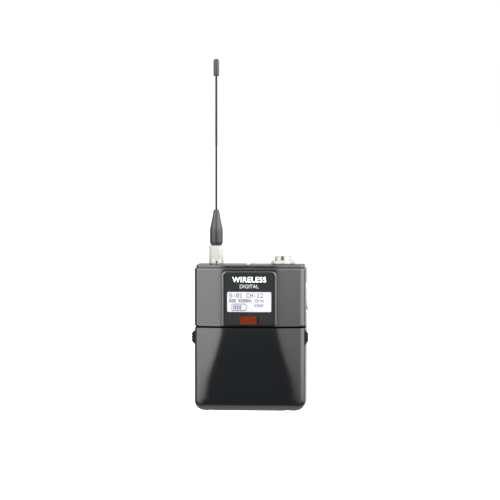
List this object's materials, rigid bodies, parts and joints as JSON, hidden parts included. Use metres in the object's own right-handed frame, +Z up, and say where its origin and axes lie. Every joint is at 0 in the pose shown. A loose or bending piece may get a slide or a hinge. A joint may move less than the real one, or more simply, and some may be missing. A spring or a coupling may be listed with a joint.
{
  "type": "wireless bodypack transmitter",
  "caption": "Pocket radio microphone transmitter: faceted metal case with a display, hinged battery door, whip antenna, small microphone socket and a wire belt clip.",
  "frame": {"origin": "middle of the case's flat base, under the middle of its depth", "axes": "+Z up along the antenna, -Y out of the front with the display, +X to the socket's side"},
  "size_m": [0.0688, 0.0296, 0.2065],
  "materials": {
    "case_paint": "semi-gloss charcoal paint on cast metal",
    "black_plastic": "fine matte",
    "lens": "polished, back-printed dark",
    "readout": "lit white readout with dark segments",
    "ir_red": "polished dark red filter",
    "nickel": "bright nickel plate",
    "steel": "drawn spring steel",
    "gold": "gold flash",
    "rubber": "smooth moulded",
    "board_green": "solder mask",
    "white_insulator": "smooth",
    "led_clear": "clear green",
    "cell_wrap": "plain printed sleeve",
    "label_grey": "blank satin label"
  },
  "bodies": {
    "case": {"rear_cover": "case_paint", "front_cover": "case_paint", "top_cap": "case_paint", "button_frame": "black_plastic", "power_switch_body": "black_plastic", "mic_socket_insulator": "black_plastic", "battery_tray": "black_plastic", "display_lens": "lens", "lcd_module": "readout", "ir_window": "ir_red", "antenna_jack": "nickel", "mic_socket_shell": "nickel", "mic_socket_nut": "nickel", "rf_shield": "nickel", "contact_plate_lower": "nickel", "contact_plate_upper": "nickel", "door_hinge_pin": "steel", "case_screw_1": "steel", "case_screw_2": "steel", "case_screw_3": "steel", "case_screw_4": "steel", "contact_spring_lower": "steel", "contact_spring_upper": "steel", "mic_socket_pin_1": "gold", "mic_socket_pin_2": "gold", "mic_socket_pin_3": "gold", "mic_socket_pin_4": "gold", "display_gasket": "rubber", "main_board": "board_green", "antenna_jack_insulator": "white_insulator", "status_led": "led_clear", "battery_cell_lower": "cell_wrap", "battery_cell_upper": "cell_wrap", "rear_label": "label_grey"},
    "door": {"battery_door": "case_paint", "latch_spring_left": "steel", "latch_spring_right": "steel"},
    "latch_left": {"door_latch_left": "black_plastic"},
    "latch_right": {"door_latch_right": "black_plastic"},
    "antenna": {"antenna_base": "nickel", "antenna_boot": "rubber", "antenna_whip": "rubber", "antenna_tip": "rubber"},
    "nut": {"antenna_nut": "nickel"},
    "clip": {"belt_clip": "steel"},
    "lever": {"power_switch_lever": "white_insulator"},
    "exit_key": {"exit_button": "rubber"},
    "down_key": {"down_button": "rubber"},
    "up_key": {"up_button": "rubber"},
    "enter_key": {"enter_button": "rubber"}
  },
  "joints": [
    {"name": "door_hinge", "type": "hinge", "parent": "case", "child": "door", "pos_m": [0, -0.00554, 0.004], "axis": [1, 0, 0], "range_deg": [0, 95]},
    {"name": "latch_left_press", "type": "slide", "parent": "door", "child": "latch_left", "axis": [1, 0, 0], "range_m": [0, 0.0015], "stiffness_N_per_m": 800, "springref_m": -0.0005, "deforming": ["latch_spring_left"]},
    {"name": "latch_right_press", "type": "slide", "parent": "door", "child": "latch_right", "axis": [-1, 0, 0], "range_m": [0, 0.0015], "stiffness_N_per_m": 800, "springref_m": -0.0005, "deforming": ["latch_spring_right"]},
    {"name": "antenna_pull", "type": "slide", "parent": "case", "child": "antenna", "axis": [0, 0, 1], "range_m": [0, 0.00352]},
    {"name": "nut_turn", "type": "hinge", "parent": "antenna", "child": "nut", "pos_m": [-0.0203, 0.0008, 0.0863], "axis": [0, 0, 1], "range_deg": [0, 1800]},
    {"name": "clip_hinge", "type": "hinge", "parent": "case", "child": "clip", "pos_m": [0, 0.0076, 0.0734], "axis": [1, 0, 0], "range_deg": [0, 15], "stiffness_Nm_per_rad": 1.5, "springref_deg": -2.86},
    {"name": "power_slide", "type": "slide", "parent": "case", "child": "lever", "axis": [1, 0, 0], "range_m": [0, 0.0025]},
    {"name": "exit_press", "type": "slide", "parent": "case", "child": "exit_key", "axis": [0, 1, 0], "range_m": [0, 0.0004], "stiffness_N_per_m": 1500, "springref_m": -0.0003},
    {"name": "down_press", "type": "slide", "parent": "case", "child": "down_key", "axis": [0, 1, 0], "range_m": [0, 0.0004], "stiffness_N_per_m": 1500, "springref_m": -0.0003},
    {"name": "up_press", "type": "slide", "parent": "case", "child": "up_key", "axis": [0, 1, 0], "range_m": [0, 0.0004], "stiffness_N_per_m": 1500, "springref_m": -0.0003},
    {"name": "enter_press", "type": "slide", "parent": "case", "child": "enter_key", "axis": [0, 1, 0], "range_m": [0, 0.0004], "stiffness_N_per_m": 1500, "springref_m": -0.0003}
  ],
  "couplings": [
    {"joint": "nut_turn", "follows": "antenna_pull", "rad_per_m": 8904.7}
  ]
}
